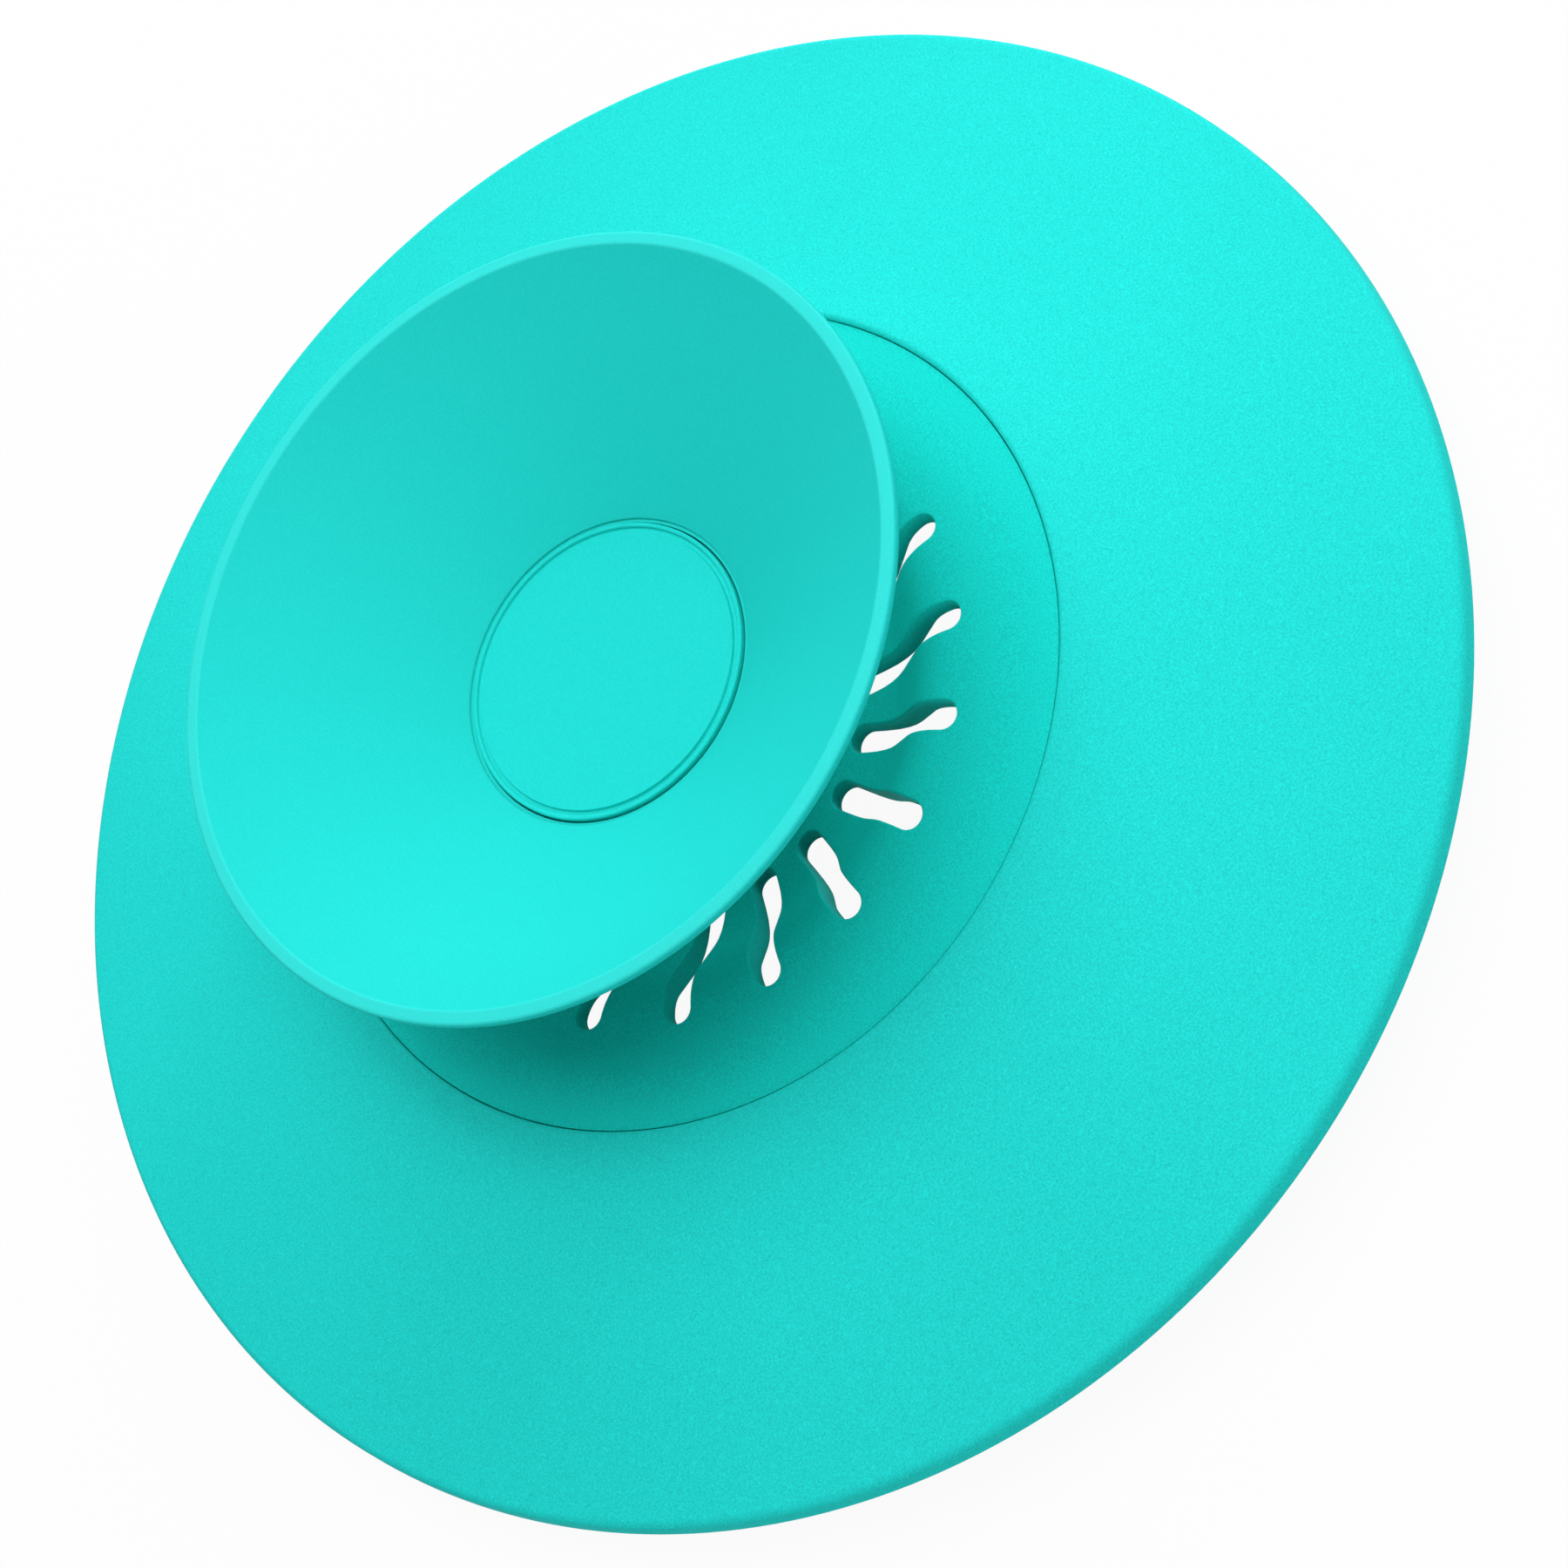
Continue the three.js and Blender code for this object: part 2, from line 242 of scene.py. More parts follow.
class Finish(PropertyGroup):
    """Colours and surface of the silicone and of the plug."""

    cover_colour: tint("Cover colour", (0.018, 0.69, 0.645), "Silicone of the cover")
    # Partly painted shade: less red and less blue than the cover's colour, for the greener hue that the
    # strainer shows in shade.
    strainer_colour_and_shade: tint("Strainer colour", (0.011, 0.69, 0.63), "Silicone of the strainer")
    # Partly painted shade: darker than the cover's colour, for the shade inside the cup's hollow.
    cup_colour_and_shade: tint("Cup colour", (0.018, 0.655, 0.611), "Silicone of the cup")
    # Painted highlight: a paler tone added to the cup's colour on the lip's top, standing for the light that
    # the lip catches.
    lip_highlight: tint("Lip highlight", (0.018, 0.06, 0.062), "Paler tone that the thin lip adds to the cup's colour")
    lip_blend: length("Lip blend", 0.06, "Height over which that tone fades below the lip's top")
    plug_colour: tint("Plug colour", (0.018, 0.70, 0.655), "Plastic of the plug and the button")
    cover_tone: share("Cover tone", 0.36, "How far the cover's grain and drift change its colour")
    cup_tone: share("Cup tone", 0.12, "How far the cup's grain and drift change its colour")
    drift_share: share("Drift share", 0.15, "Share of the drift in that change. The rest is grain")
    drift: length("Drift", 45, "Width of the slow change of colour")
    cover_roughness: share("Cover roughness", 0.55, "Roughness of the cover")
    cup_roughness: share("Cup roughness", 0.48, "Roughness of the cup")
    plug_roughness: share("Plug roughness", 0.5, "Roughness of the plug")
    grain: length("Grain", 0.17, "Width of the moulded grain")
    grain_height: length("Grain height", 0.008, "Height of the moulded grain")


class StageSettings(PropertyGroup):
    """Camera, lamps and floor."""

    elevation: angle("Elevation", 55.625, "Height of the camera above the horizon")
    roll: angle("Roll", -57.388, "Turn of the camera about its own view")
    aim_drop: length("Aim drop", 1.3, "Height of the cover's edge above the point that the camera is set to")
    distance: length("Distance", 237.36, "From the camera to the plane through that point")
    offset_x: length("Offset across", -9.125, "Place of that point across the view")
    offset_y: length("Offset up", 5.815, "Place of that point up the view")
    lens: FloatProperty(name="Lens", description="Focal length in millimetres", default=56.443)
    ambient: FloatProperty(name="Ambient", description="Strength of the even light", default=0.0)
    lamp_size: length("Lamp size", 350, "Side of each soft lamp")
    lamp_distance: length("Lamp distance", 700, "Distance of each lamp from the cover")
    floor_white: share("Floor white", 0.94, "How far the floor is lifted to white near the cover")
    floor_fade: length("Floor fade", 170, "Distance over which the floor turns to full white")


class DrainCover(PropertyGroup):
    """All settings of the drain cover."""

    cover: PointerProperty(type=CoverSizes)
    strainer: PointerProperty(type=StrainerSizes)
    slots: PointerProperty(type=SlotSizes)
    cup: PointerProperty(type=CupSizes)
    plug: PointerProperty(type=PlugSizes)
    finish: PointerProperty(type=Finish)
    stage: PointerProperty(type=StageSettings)


def corner_points(before, corner, after):
    """The corner itself, or the arc that rounds it and is tangent to both of its edges."""
    point = Vector(corner[:2])
    fillet = corner[2] if len(corner) > 2 else 0
    if fillet == 0:
        return [point]
    back = Vector(before[:2]) - point
    ahead = Vector(after[:2]) - point
    room = FILLET_ROOM * min(back.length, ahead.length)
    back.normalize()
    ahead.normalize()
    half = back.angle(ahead) / 2
    tangent = min(fillet / math.tan(half), room)
    radius = tangent * math.tan(half)
    centre = point + (back + ahead).normalized() * (radius / math.sin(half))
    start = point + back * tangent - centre
    turn = math.copysign(math.pi - 2 * half, back.x * ahead.y - back.y * ahead.x)
    steps = max(ARC_STEPS_MIN, math.ceil(abs(turn) / ARC_STEP))
    return [centre + Matrix.Rotation(-turn * i / steps, 2) @ start for i in range(steps + 1)]


def straight_points(first, last):
    """Points inside a straight stretch: one close to each end, and even steps between them."""
    run = last - first
    if run.length < 4 * SUPPORT:
        return []
    near = run.normalized() * SUPPORT
    count = math.ceil((run.length - 2 * SUPPORT) / STRAIGHT_STEP)
    start = first + near
    inner = last - near - start
    return [start + inner * (i / count) for i in range(count + 1)]


def outline(corners, closed=True):
    """Points of an outline in radius and height from corners of (radius, height, fillet)."""
    count = len(corners)
    stretches = []
    for i, corner in enumerate(corners):
        if closed or 0 < i < count - 1:
            stretches.append(corner_points(corners[i - 1], corner, corners[(i + 1) % count]))
        else:
            stretches.append([Vector(corner[:2])])
    points = []
    for i, stretch in enumerate(stretches):
        points += stretch
        if closed or i < count - 1:
            points += straight_points(stretch[-1], stretches[(i + 1) % count][0])
    return points


def finish_mesh(name, points, faces):
    """An object from points and faces, welded, smooth, with only true corners sharp."""
    mesh = bpy.data.meshes.new(name)
    mesh.from_pydata(points, [], faces)
    work = bmesh.new()
    work.from_mesh(mesh)
    bmesh.ops.remove_doubles(work, verts=work.verts, dist=WELD)
    work.to_mesh(mesh)
    work.free()
    mesh.shade_smooth()
    mesh.set_sharp_from_angle(angle=SHARP_ANGLE)
    piece = bpy.data.objects.new(name, mesh)
    bpy.context.scene.collection.objects.link(piece)
    return piece


def ring_faces(rows, closed):
    """Quads between neighbouring rows of point numbers, each row a closed ring."""
    faces = []
    pairs = list(zip(rows, rows[1:]))
    if closed:
        pairs.append((rows[-1], rows[0]))
    for low, high in pairs:
        for k in range(len(low)):
            n = (k + 1) % len(low)
            loop = [low[k], low[n], high[n], high[k]]
            faces.append(list(dict.fromkeys(loop)))
    return faces


def revolve(name, profile, sides, closed=True):
    """A turned piece from a profile that is listed anticlockwise, with the axis on its left."""
    points = []
    rows = []
    for spot in profile:
        first = len(points)
        if spot.x == 0:
            points.append((0, 0, spot.y))
            rows.append([first] * sides)
            continue
        for k in range(sides):
            turn = math.tau * k / sides
            points.append((spot.x * math.cos(turn), spot.x * math.sin(turn), spot.y))
        rows.append(list(range(first, first + sides)))
    return finish_mesh(name, points, ring_faces(rows, closed))


class Levels:
    """Heights and radii that pieces share, worked out from the settings and the frame."""

    def __init__(self, settings):
        cover, strainer, cup, plug = settings.cover, settings.strainer, settings.cup, settings.plug
        self.edge_inset = cover.edge_inset
        self.rim_radius = DISC_HIGH.x
        self.seat_radius = cover.seat_radius
        self.flange_radius = cover.seat_radius - cover.seat_gap
        self.ledge_radius = self.seat_radius - cover.ledge_width
        self.cover_slope = cover.rise / (self.rim_radius - self.edge_inset - self.seat_radius)
        self.collar_top = CUP_LOW.z - strainer.rest_gap
        self.collar_bottom = self.collar_top - strainer.wall
        self.fold_top = self.collar_top + strainer.funnel_depth
        self.fold_radius = strainer.fold_radius
        self.flange_slope = strainer.flange_rise / (self.seat_radius - self.fold_radius)
        self.seat_top = self.flange_top(self.seat_radius) + strainer.flange_step
        self.cup_top = CUP_HIGH.z
        self.cup_floor = self.cup_top - cup.depth
        self.head_top = self.cup_floor + plug.head_proud
        self.head_bottom = self.head_top - plug.head_thickness
        self.shank_bore = plug.shank_radius + plug.side_gap
        self.boss_bore = plug.boss_radius + plug.side_gap

    def flange_top(self, radius):
        """Height of the flange's top face."""
        return self.fold_top - (radius - self.fold_radius) * self.flange_slope

    def cover_top(self, radius):
        """Height of the cover's top face."""
        return self.seat_top - (radius - self.seat_radius) * self.cover_slope


def settings_and_levels():
    """The scene's settings, and the heights and radii that follow from them."""
    settings = bpy.context.scene.drain_cover
    return settings, Levels(settings)


def add_node(tree, kind, **values):
    """A shader node with its sockets set by name."""
    node = tree.nodes.new(kind)
    for name, value in values.items():
        node.inputs[name.replace("_", " ")].default_value = value
    return node


def math_node(tree, operation, *terms):
    """The result of a maths node, whose terms are numbers or the outputs of other nodes."""
    node = tree.nodes.new("ShaderNodeMath")
    node.operation = operation
    for socket, term in zip(node.inputs, terms):
        if isinstance(term, bpy.types.NodeSocket):
            tree.links.new(term, socket)
        else:
            socket.default_value = term
    return node.outputs[0]


def mixed_shader(tree, factor, first, second):
    """The output of a node that mixes two shaders."""
    node = tree.nodes.new("ShaderNodeMixShader")
    for socket, source in zip(node.inputs, (factor, first, second)):
        tree.links.new(source, socket)
    return node.outputs[0]


def moulded(name, colour, tone_change, roughness, grain_height):
    """Moulded silicone or plastic: a slow drift of tone, a fine grain, and roughness that follows it."""
    look = bpy.context.scene.drain_cover.finish
    material = bpy.data.materials.new(name)
    material.use_nodes = True
    tree = material.node_tree
    shader = tree.nodes["Principled BSDF"]
    place = tree.nodes.new("ShaderNodeTexCoord")
    drift = add_node(tree, "ShaderNodeTexNoise", Scale=1 / look.drift, Detail=DRIFT_DETAIL)
    grain = add_node(tree, "ShaderNodeTexNoise", Scale=1 / look.grain, Detail=GRAIN_DETAIL,
                     Roughness=GRAIN_BLEND)
    for texture in (drift, grain):
        tree.links.new(place.outputs["Object"], texture.inputs["Vector"])
    tone = tree.nodes.new("ShaderNodeMix")
    tone.data_type = "RGBA"
    low, high = 1 - tone_change, 1 + tone_change
    tone.inputs["A"].default_value = (*[c * low for c in colour], 1)
    tone.inputs["B"].default_value = (*[c * high for c in colour], 1)
    slow = math_node(tree, "MULTIPLY", drift.outputs["Fac"], look.drift_share)
    change = math_node(tree, "MULTIPLY_ADD", grain.outputs["Fac"], 1 - look.drift_share, slow)
    tree.links.new(change, tone.inputs["Factor"])
    tree.links.new(tone.outputs["Result"], shader.inputs["Base Color"])
    rough = add_node(tree, "ShaderNodeMapRange", To_Min=roughness - ROUGHNESS_SWING,
                     To_Max=roughness + ROUGHNESS_SWING)
    tree.links.new(grain.outputs["Fac"], rough.inputs["Value"])
    tree.links.new(rough.outputs["Result"], shader.inputs["Roughness"])
    bump = add_node(tree, "ShaderNodeBump", Strength=1.0, Distance=grain_height)
    tree.links.new(grain.outputs["Fac"], bump.inputs["Height"])
    tree.links.new(bump.outputs["Normal"], shader.inputs["Normal"])
    shader.inputs["Specular IOR Level"].default_value = SHEEN
    return material


def paint_highlight_above(material, height, lift):
    """Paints a highlight: makes the material paler above a height, for the light that the lip's top catches.
    """
    tree = material.node_tree
    colour = tree.nodes["Principled BSDF"].inputs["Base Color"]
    tone = colour.links[0].from_socket
    look = bpy.context.scene.drain_cover.finish
    place = tree.nodes.new("ShaderNodeTexCoord")
    parts = tree.nodes.new("ShaderNodeSeparateXYZ")
    tree.links.new(place.outputs["Object"], parts.inputs[0])
    share_up = add_node(tree, "ShaderNodeMapRange", From_Min=height - look.lip_blend, From_Max=height)
    tree.links.new(parts.outputs["Z"], share_up.inputs["Value"])
    highlighted = tree.nodes.new("ShaderNodeMix")
    highlighted.data_type = "RGBA"
    highlighted.blend_type = "ADD"
    highlighted.inputs["B"].default_value = (*lift, 1)
    tree.links.new(share_up.outputs["Result"], highlighted.inputs["Factor"])
    tree.links.new(tone, highlighted.inputs["A"])
    tree.links.new(highlighted.outputs["Result"], colour)


def cover_silicone():
    """The cover's silicone."""
    look = bpy.context.scene.drain_cover.finish
    return moulded("cover_silicone_look", look.cover_colour, look.cover_tone, look.cover_roughness,
                   look.grain_height)


def strainer_silicone():
    """The strainer's silicone, in a tone that is partly painted shade."""
    look = bpy.context.scene.drain_cover.finish
    return moulded("strainer_silicone_and_shade_look", look.strainer_colour_and_shade, look.cover_tone, look.cover_roughness,
                   look.grain_height)


def cup_silicone(lip_top):
    """The cup's silicone, with a painted highlight on the lip."""
    look = bpy.context.scene.drain_cover.finish
    # The cup's colour is darker than the cover's as painted shade for its hollow.
    material = moulded("cup_silicone_look", look.cup_colour_and_shade, look.cup_tone, look.cup_roughness,
                       look.grain_height * LOW_GRAIN)
    paint_highlight_above(material, lip_top - look.lip_blend, look.lip_highlight)
    return material


def plug_plastic():
    """The plastic that the plug and the button share."""
    name = "plug_plastic_look"
    found = bpy.data.materials.get(name)
    if found:
        return found
    look = bpy.context.scene.drain_cover.finish
    return moulded(name, look.plug_colour, look.cup_tone, look.plug_roughness, look.grain_height * LOW_GRAIN)


def dress(piece, material, node):
    """Gives a piece its material and hides the frame's part that it stands for."""
    piece.data.materials.append(material)
    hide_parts(node)


class DRAIN_OT_cover_disc(Operator):
    """Make the wide silicone cover with its rounded edge and its seat"""

    bl_idname = "drain.cover_disc"
    bl_label = "Cover disc"

    def execute(self, context):
        settings, at = settings_and_levels()
        cover, strainer = settings.cover, settings.strainer
        edge_top = at.cover_top(at.rim_radius - at.edge_inset)
        ledge_drop = strainer.flange_thickness + strainer.rest_gap
        under_drop = ledge_drop + cover.ledge_thickness
        lean_rise = (at.seat_top - edge_top) * cover.edge_lean / (at.rim_radius - at.seat_radius)
        profile = outline([
            (at.ledge_radius, at.flange_top(at.ledge_radius) - under_drop, cover.seat_round),
            (at.seat_radius, at.flange_top(at.seat_radius) - under_drop, cover.edge_under_round),
            (at.rim_radius, edge_top - cover.edge_thickness, cover.edge_under_round),
            (at.rim_radius - cover.edge_lean, edge_top + lean_rise, cover.edge_round),
            (at.seat_radius, at.seat_top, cover.seat_round),
            (at.seat_radius, at.flange_top(at.seat_radius) - ledge_drop),
            (at.ledge_radius, at.flange_top(at.ledge_radius) - ledge_drop),
        ])
        piece = revolve("cover_disc_skin", profile, LARGE_SIDES)
        dress(piece, cover_silicone(), "cover_disc")
        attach(piece, "cover")
        return {"FINISHED"}


def height_on(profile, radius):
    """Height of an open profile, listed from large to small radius, at a radius."""
    for high, low in zip(profile, profile[1:]):
        if low.x <= radius <= high.x:
            part = (radius - low.x) / max(high.x - low.x, WELD)
            return low.y + (high.y - low.y) * part
    return profile[0].y if radius > profile[0].x else profile[-1].y


def under_corners(corners, wall):
    """The inner corners of a run that is listed from the rim to the axis, moved one wall down."""
    down = []
    for before, after in zip(corners, corners[1:]):
        run = (Vector(after[:2]) - Vector(before[:2])).normalized()
        down.append(Vector((-run.y, run.x)))
    under = []
    for first, second, corner in zip(down, down[1:], corners[1:]):
        spot = Vector(corner[:2]) + (first + second) * (wall / (1 + first.dot(second)))
        under.append((spot.x, spot.y, corner[2] + math.copysign(wall, second.cross(first))))
    return under


class SlotPattern:
    """One slot in plan, lying along X, with the sector of the funnel round it."""

    def __init__(self, slots):
        self.slots = slots
        self.half_pitch = math.pi / slots.count
        self.half_width = slots.width / 2
        room = self.half_width + slots.top_round + slots.margin
        self.outer_limit = slots.outer_radius + room
        self.inner_limit = slots.inner_radius - room

    def on_ray(self, radius):
        """A point on the straight border between two sectors."""
        return Vector((radius * math.cos(self.half_pitch), radius * math.sin(self.half_pitch)))

    def on_arc(self, radius, part):
        """A point on a round border. part runs from 0 in its middle to 1 at the straight border."""
        turn = self.half_pitch * part
        return Vector((radius * math.cos(turn), radius * math.sin(turn)))

    def end(self, centre, limit, sign):
        """A quarter turn of an end from its tip: edge point, normal, and the mate on the sector's border."""
        rows = []
        for i in range(END_STEPS + 1):
            part = 2 * i / END_STEPS
            turn = math.pi / 2 * i / END_STEPS
            normal = Vector((sign * math.cos(turn), math.sin(turn)))
            edge = Vector((centre, 0)) + normal * self.half_width
            if part <= 1:
                mate = self.on_arc(limit, part)
            else:
                mate = self.on_ray(limit + (centre - limit) * (part - 1))
            rows.append((edge, normal, mate))
        return rows

    def side(self):
        """The points between the two ends."""
        outer, inner = self.slots.outer_radius, self.slots.inner_radius
        rows = []
        for i in range(1, SIDE_STEPS):
            radius = outer + (inner - outer) * i / SIDE_STEPS
            rows.append((Vector((radius, self.half_width)), Vector((0, 1)), self.on_ray(radius)))
        return rows

    def half_rows(self):
        """From the outer tip to the inner tip along the slot's +Y side."""
        outer = self.end(self.slots.outer_radius, self.outer_limit, 1)
        inner = self.end(self.slots.inner_radius, self.inner_limit, -1)
        return outer + self.side() + inner[::-1]

    def rows(self):
        """All round the slot, anticlockwise from the outer tip."""
        half = self.half_rows()
        mirrored = [tuple(Vector((v.x, -v.y)) for v in row) for row in half[-2:0:-1]]
        return half + mirrored

    def border_turns(self):
        """Turns of the points on a sector's round borders, from one ray to just before the next."""
        steps = END_STEPS // 2
        return [self.half_pitch * i / steps for i in range(-steps, steps)]


def slot_face(rows, profile, fillet, lift):
    """Rings of points from the slot's edge to the sector's border. lift is 1 on top and -1 below."""
    rings = []
    for i in range(EDGE_STEPS + 1):
        turn = math.pi / 2 * i / EDGE_STEPS
        away = fillet * (1 - math.cos(turn))
        drop = fillet * (1 - math.sin(turn))
        spots = [edge + normal * away for edge, normal, mate in rows]
        rings.append([(p.x, p.y, height_on(profile, p.length) - lift * drop) for p in spots])
    for i in range(1, BAND_STEPS + 1):
        part = (i / BAND_STEPS) ** BAND_CURVE
        spots = [(edge + normal * fillet).lerp(mate, part) for edge, normal, mate in rows]
        rings.append([(p.x, p.y, height_on(profile, p.length)) for p in spots])
    return rings


def slot_wall(top, bottom):
    """Rings of points down the slot's wall, with both of its edges."""
    rings = []
    for i in range(WALL_STEPS + 1):
        part = i / WALL_STEPS
        rings.append([tuple(Vector(a).lerp(Vector(b), part)) for a, b in zip(top, bottom)])
    return rings


class PointStore:
    """Points and faces of a piece that is put together from patches."""

    def __init__(self):
        self.points = []
        self.faces = []

    def rings(self, rings, turn, flip):
        """Adds a patch from its rings of points, turned about Z."""
        spin = Matrix.Rotation(turn, 3, "Z")
        rows = []
        for ring in rings:
            first = len(self.points)
            self.points += [spin @ Vector(p) for p in ring]
            rows.append(list(range(first, first + len(ring))))
        faces = ring_faces(rows, False)
        self.faces += [face[::-1] for face in faces] if flip else faces

    def turned(self, profile, turns):
        """Adds a turned band whose points match those of the patches."""
        rings = []
        for spot in profile:
            rings.append([(spot.x * math.cos(t), spot.x * math.sin(t), spot.y) for t in turns])
        self.rings(rings, 0, True)


class DRAIN_OT_strainer(Operator):
    """Make the strainer: a flange, a funnel with its ring of slots, and a collar"""

    bl_idname = "drain.strainer"
    bl_label = "Strainer"

    def execute(self, context):
        settings, at = settings_and_levels()
        strainer, slots = settings.strainer, settings.slots
        pattern = SlotPattern(slots)
        flange_radius = at.flange_radius
        step_radius = at.ledge_radius - settings.cover.seat_gap
        wall = strainer.wall
        top_corners = [
            (flange_radius, at.flange_top(flange_radius)),
            (at.fold_radius, at.fold_top, strainer.fold_round),
            (strainer.valley_radius, at.collar_top + strainer.valley_rise, strainer.valley_round),
            (strainer.collar_radius, at.collar_top, strainer.collar_round),
            (at.boss_bore, at.collar_top),
        ]
        top = outline(top_corners, closed=False)
        bottom = outline([
            (step_radius, at.flange_top(step_radius) - wall),
            *under_corners(top_corners, wall),
            (at.boss_bore, at.collar_bottom),
        ], closed=False)
        rows = pattern.rows()
        top_rings = slot_face(rows, top, slots.top_round, 1)
        bottom_rings = slot_face(rows, bottom, slots.bottom_round, -1)
        wall_rings = slot_wall(top_rings[0], bottom_rings[0])
        store = PointStore()
        turns = []
        for i in range(slots.count):
            turn = slots.phase + math.tau * i / slots.count
            store.rings(top_rings, turn, True)
            store.rings(bottom_rings, turn, False)
            store.rings(wall_rings, turn, False)
            turns += [turn + t for t in pattern.border_turns()]
        out, inn = pattern.outer_limit, pattern.inner_limit
        flange = outline([
            (out, height_on(top, out)),
            (flange_radius, at.flange_top(flange_radius), strainer.flange_round),
            (flange_radius, at.flange_top(flange_radius) - strainer.flange_thickness, strainer.flange_round),
            (step_radius, at.flange_top(step_radius) - strainer.flange_thickness),
            (step_radius, at.flange_top(step_radius) - wall, strainer.flange_round),
            (out, height_on(bottom, out)),
        ], closed=False)
        collar = outline([
            (inn, height_on(bottom, inn)),
            (at.boss_bore, at.collar_bottom, strainer.flange_round),
            (at.boss_bore, at.collar_top, strainer.flange_round),
            (inn, height_on(top, inn)),
        ], closed=False)
        store.turned(flange, turns)
        store.turned(collar, turns)
        piece = finish_mesh("strainer_skin", store.points, store.faces)
        dress(piece, strainer_silicone(), "strainer")
        self.bend(piece, top, at)
        return {"FINISHED"}

    def bend(self, piece, top, at):
        """Lets the funnel turn inside out with the cup, its wall as thick as before.

        Lays the wall on its own top face, bakes the piece's transform, and then puts the wall's heights
        back.
        """
        crest = max(top, key=lambda spot: spot.y)
        points = piece.data.vertices
        heights = [point.co.z for point in points]
        for point in points:
            radius = point.co.xy.length
            point.co.z = crest.y if radius > crest.x else height_on(top, radius)
        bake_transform(piece)
        for point, height in zip(points, heights):
            point.co.z = height


class DRAIN_OT_seal_cup(Operator):
    """Make the flared cup with its lip, neck and foot"""

    bl_idname = "drain.seal_cup"
    bl_label = "Seal cup"

    def execute(self, context):
        settings, at = settings_and_levels()
        cup, plug = settings.cup, settings.plug
        rim_radius = CUP_HIGH.x
        lip_bottom = at.cup_top - cup.lip_height
        neck_top = lip_bottom - (rim_radius - cup.neck_radius) * math.tan(cup.under_angle)
        pocket_radius = PLUG_HIGH.x + plug.pocket_gap
        pocket_floor = at.head_bottom - settings.strainer.rest_gap
        brim_radius = pocket_radius + cup.brim_width
        brim_floor = at.cup_floor - cup.brim_depth
        foot_bottom = CUP_LOW.z
        foot_top = foot_bottom + cup.foot_thickness
        boss_roof = BUTTON_HIGH.z + plug.side_gap
        profile = outline([
            (at.boss_bore, foot_bottom),
            (cup.foot_radius, foot_bottom),
            (cup.foot_radius, foot_top, cup.foot_round),
            (cup.neck_radius, foot_top, cup.foot_fillet),
            (cup.neck_radius, neck_top, cup.neck_fillet),
            (rim_radius, lip_bottom, cup.lip_round),
            (rim_radius, at.cup_top, cup.lip_round),
            (rim_radius - cup.lip_width, at.cup_top, cup.lip_inner_round),
            (brim_radius, at.cup_floor, cup.brim_round),
            (brim_radius - cup.brim_round, brim_floor, cup.brim_round / 2),
            (pocket_radius, brim_floor, cup.brim_round),
            (pocket_radius, pocket_floor),
            (at.shank_bore, pocket_floor),
            (at.shank_bore, boss_roof),
            (at.boss_bore, boss_roof),
        ])
        piece = revolve("seal_cup_skin", profile, LARGE_SIDES)
        dress(piece, cup_silicone(at.cup_top), "seal_cup")
        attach(piece, "cup")
        return {"FINISHED"}


class DRAIN_OT_plug(Operator):
    """Make the plug with its beaded head and its shank"""

    bl_idname = "drain.plug"
    bl_label = "Plug"

    def execute(self, context):
        settings, at = settings_and_levels()
        plug = settings.plug
        head_radius = PLUG_HIGH.x
        tip = PLUG_LOW.z
        ring_half = plug.ring_length / 2
        bead_inner = head_radius - plug.bead_width
        groove_inner = bead_inner - plug.groove_width
        groove_middle = (bead_inner + groove_inner) / 2
        groove_half = plug.groove_floor / 2
        groove_bottom = at.head_top - plug.groove_depth
        profile = outline([
            (0, tip),
            (plug.shank_radius - plug.tip_chamfer, tip),
            (plug.shank_radius, tip + plug.tip_chamfer),
            (plug.shank_radius, plug.ring_height - ring_half),
            (plug.shank_radius + plug.ring_depth, plug.ring_height, ring_half / 2),
            (plug.shank_radius, plug.ring_height + ring_half),
            (plug.shank_radius, at.head_bottom),
            (head_radius, at.head_bottom),
            (head_radius, at.head_top, plug.bead_round),
            (bead_inner, at.head_top, plug.bead_round),
            (groove_middle + groove_half, groove_bottom, plug.groove_round),
            (groove_middle - groove_half, groove_bottom, plug.groove_round),
            (groove_inner, at.head_top, plug.groove_round),
            (0, at.head_top),
        ], closed=False)
        piece = revolve("plug_skin", profile, SMALL_SIDES, closed=False)
        dress(piece, plug_plastic(), "plug")
        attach(piece, "cup")
        return {"FINISHED"}


class DRAIN_OT_press_button(Operator):
    """Make the press button with its hollow boss"""

    bl_idname = "drain.press_button"
    bl_label = "Press button"

    def execute(self, context):
        settings, at = settings_and_levels()
        plug = settings.plug
        cap_radius = BUTTON_HIGH.x
        boss_top = BUTTON_HIGH.z
        groove_half = plug.ring_length / 2 + plug.side_gap
        profile = outline([
            (0, BUTTON_LOW.z),
            (cap_radius, BUTTON_LOW.z, plug.cap_round),
            (cap_radius, plug.cap_thickness, plug.cap_back_round),
            (plug.boss_radius, plug.cap_thickness, plug.boss_round),
            (plug.boss_radius, boss_top, plug.boss_round),
            (at.shank_bore, boss_top, plug.boss_round),
            (at.shank_bore, plug.ring_height + groove_half),
            (at.shank_bore + plug.ring_depth, plug.ring_height),
            (at.shank_bore, plug.ring_height - groove_half),
            (at.shank_bore, plug.socket_floor),
            (0, plug.socket_floor),
        ], closed=False)
        piece = revolve("press_button_skin", profile, SMALL_SIDES, closed=False)
        dress(piece, plug_plastic(), "press_button")
        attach(piece, "cup")
        return {"FINISHED"}


def seen_rays(tree):
    """1 for rays that see a surface, straight or in gloss or glass, and 0 for light that is passed on."""
    path = tree.nodes.new("ShaderNodeLightPath")
    total = path.outputs["Is Camera Ray"]
    for name in ("Is Glossy Ray", "Is Transmission Ray"):
        total = math_node(tree, "MAXIMUM", total, path.outputs[name])
    return total


